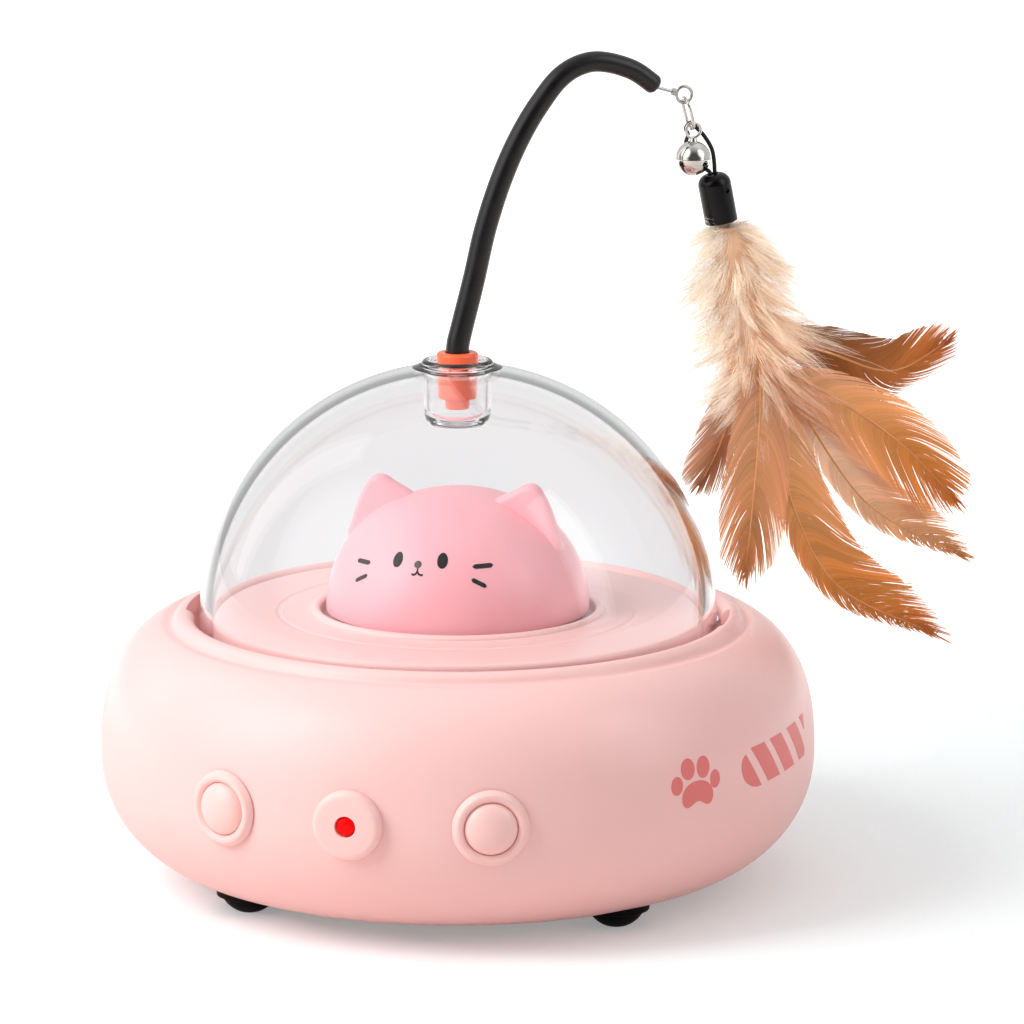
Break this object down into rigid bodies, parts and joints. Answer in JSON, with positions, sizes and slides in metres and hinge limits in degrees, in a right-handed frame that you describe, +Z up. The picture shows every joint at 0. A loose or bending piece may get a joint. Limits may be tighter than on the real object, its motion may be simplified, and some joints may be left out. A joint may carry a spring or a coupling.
{
  "type": "automatic cat laser toy",
  "caption": "Round pet toy: a turning cat head with a laser under a clear twist-off dome, push buttons in front, and an arched wand with a bell and a feather teaser on top.",
  "frame": {"origin": "centre of the base cover's underside, on the axis of the head and the dome", "axes": "+Z up along the head's axis, -Y to the front with the buttons, +X to the right seen from the front"},
  "size_m": [0.1948, 0.1705, 0.1943],
  "materials": {
    "blush_plastic": "satin moulded",
    "rose_plastic": "satin moulded",
    "clear_plastic": "clear, polished",
    "coral_rubber": "smooth silicone",
    "black_rubber": "matte",
    "dark_window": "polished",
    "red_lens": "polished",
    "nickel": "plated",
    "steel": "bright",
    "brass": "bright",
    "acetal": "satin",
    "grey_plastic": "matte",
    "cell_wrap": "shrink wrap",
    "circuit_board": "solder mask",
    "down": "down, soft",
    "feather": "feather vanes",
    "grey_feather": "feather vanes"
  },
  "bodies": {
    "casing": {"upper_shell": "blush_plastic", "base_cover": "blush_plastic", "deck_plate": "blush_plastic", "front_left_foot": "black_rubber", "front_right_foot": "black_rubber", "rear_right_foot": "black_rubber", "rear_left_foot": "black_rubber", "cover_screw_1": "steel", "cover_screw_2": "steel", "cover_screw_3": "steel", "cover_screw_4": "steel", "frame_screw_1": "steel", "frame_screw_2": "steel", "frame_screw_3": "steel", "gear_frame": "acetal", "lower_bush": "brass", "upper_bush": "brass", "gear_motor": "steel", "brush_block": "grey_plastic", "battery_tray": "grey_plastic", "battery_cell": "cell_wrap", "control_board": "circuit_board", "charge_inlet": "nickel", "left_switch": "grey_plastic", "power_switch": "grey_plastic", "right_switch": "grey_plastic", "left_bezel": "blush_plastic", "right_bezel": "blush_plastic"},
    "head": {"cat_head": "rose_plastic", "nose_window": "dark_window", "laser_module": "brass", "head_turntable": "grey_plastic", "head_spindle": "steel", "head_gear": "acetal", "slip_ring": "brass"},
    "pinion": {"drive_pinion": "acetal", "motor_shaft": "steel"},
    "left_key": {"left_button": "blush_plastic"},
    "power_key": {"power_button": "blush_plastic", "indicator_lens": "red_lens"},
    "right_key": {"right_button": "blush_plastic"},
    "dome": {"clear_dome": "clear_plastic", "wand_cup": "clear_plastic"},
    "grip": {"cup_grip_ring": "black_rubber"},
    "wand": {"wand_plug": "coral_rubber", "wand_rod": "black_rubber", "wand_wire": "steel"},
    "link": {"snap_link": "nickel"},
    "bell": {"bell": "nickel", "bell_pellet": "steel"},
    "teaser": {"teaser_loop": "black_rubber", "teaser_cap": "black_rubber", "feather_fluff": "down", "feather_1": "feather", "feather_2": "feather", "feather_3": "feather", "feather_4": "feather", "feather_5": "feather", "feather_6": "grey_feather"}
  },
  "joints": [
    {"name": "head_spin", "type": "hinge", "parent": "casing", "child": "head", "pos_m": [0, 0, 0.0617], "axis": [0, 0, 1], "continuous": true},
    {"name": "pinion_spin", "type": "hinge", "parent": "casing", "child": "pinion", "pos_m": [-0.02425, 0, 0.0492], "axis": [0, 0, 1], "continuous": true},
    {"name": "left_press", "type": "slide", "parent": "casing", "child": "left_key", "axis": [0.3746, 0.9272, 0], "range_m": [0, 0.0008], "stiffness_N_per_m": 400},
    {"name": "power_press", "type": "slide", "parent": "casing", "child": "power_key", "axis": [0, 1, 0], "range_m": [0, 0.0008], "stiffness_N_per_m": 400},
    {"name": "right_press", "type": "slide", "parent": "casing", "child": "right_key", "axis": [-0.3746, 0.9272, 0], "range_m": [0, 0.0008], "stiffness_N_per_m": 400},
    {"name": "dome_twist", "type": "hinge", "parent": "casing", "child": "dome", "pos_m": [0, 0, 0.058], "axis": [0, 0, -1], "range_deg": [0, 24]},
    {"name": "wand_turn", "type": "hinge", "parent": "dome", "child": "grip", "pos_m": [0, 0, 0.1178], "axis": [0, 0, 1], "continuous": true},
    {"name": "wand_lift", "type": "slide", "parent": "grip", "child": "wand", "axis": [0, 0, 1], "range_m": [0, 0.0125]},
    {"name": "hook_swing", "type": "hinge", "parent": "wand", "child": "link", "pos_m": [0.0459, 0.03155, 0.17787], "axis": [0.5664, -0.8241, 0], "range_deg": [0, 30]},
    {"name": "bell_swing", "type": "hinge", "parent": "link", "child": "bell", "pos_m": [0.04809, 0.03184, 0.17191], "axis": [-0.5664, 0.8241, 0], "range_deg": [0, 40]},
    {"name": "teaser_swing", "type": "hinge", "parent": "link", "child": "teaser", "pos_m": [0.04713, 0.03324, 0.17179], "axis": [0.5664, -0.8241, 0], "range_deg": [0, 30]}
  ],
  "couplings": [
    {"joint": "pinion_spin", "follows": "head_spin", "ratio": -3}
  ]
}
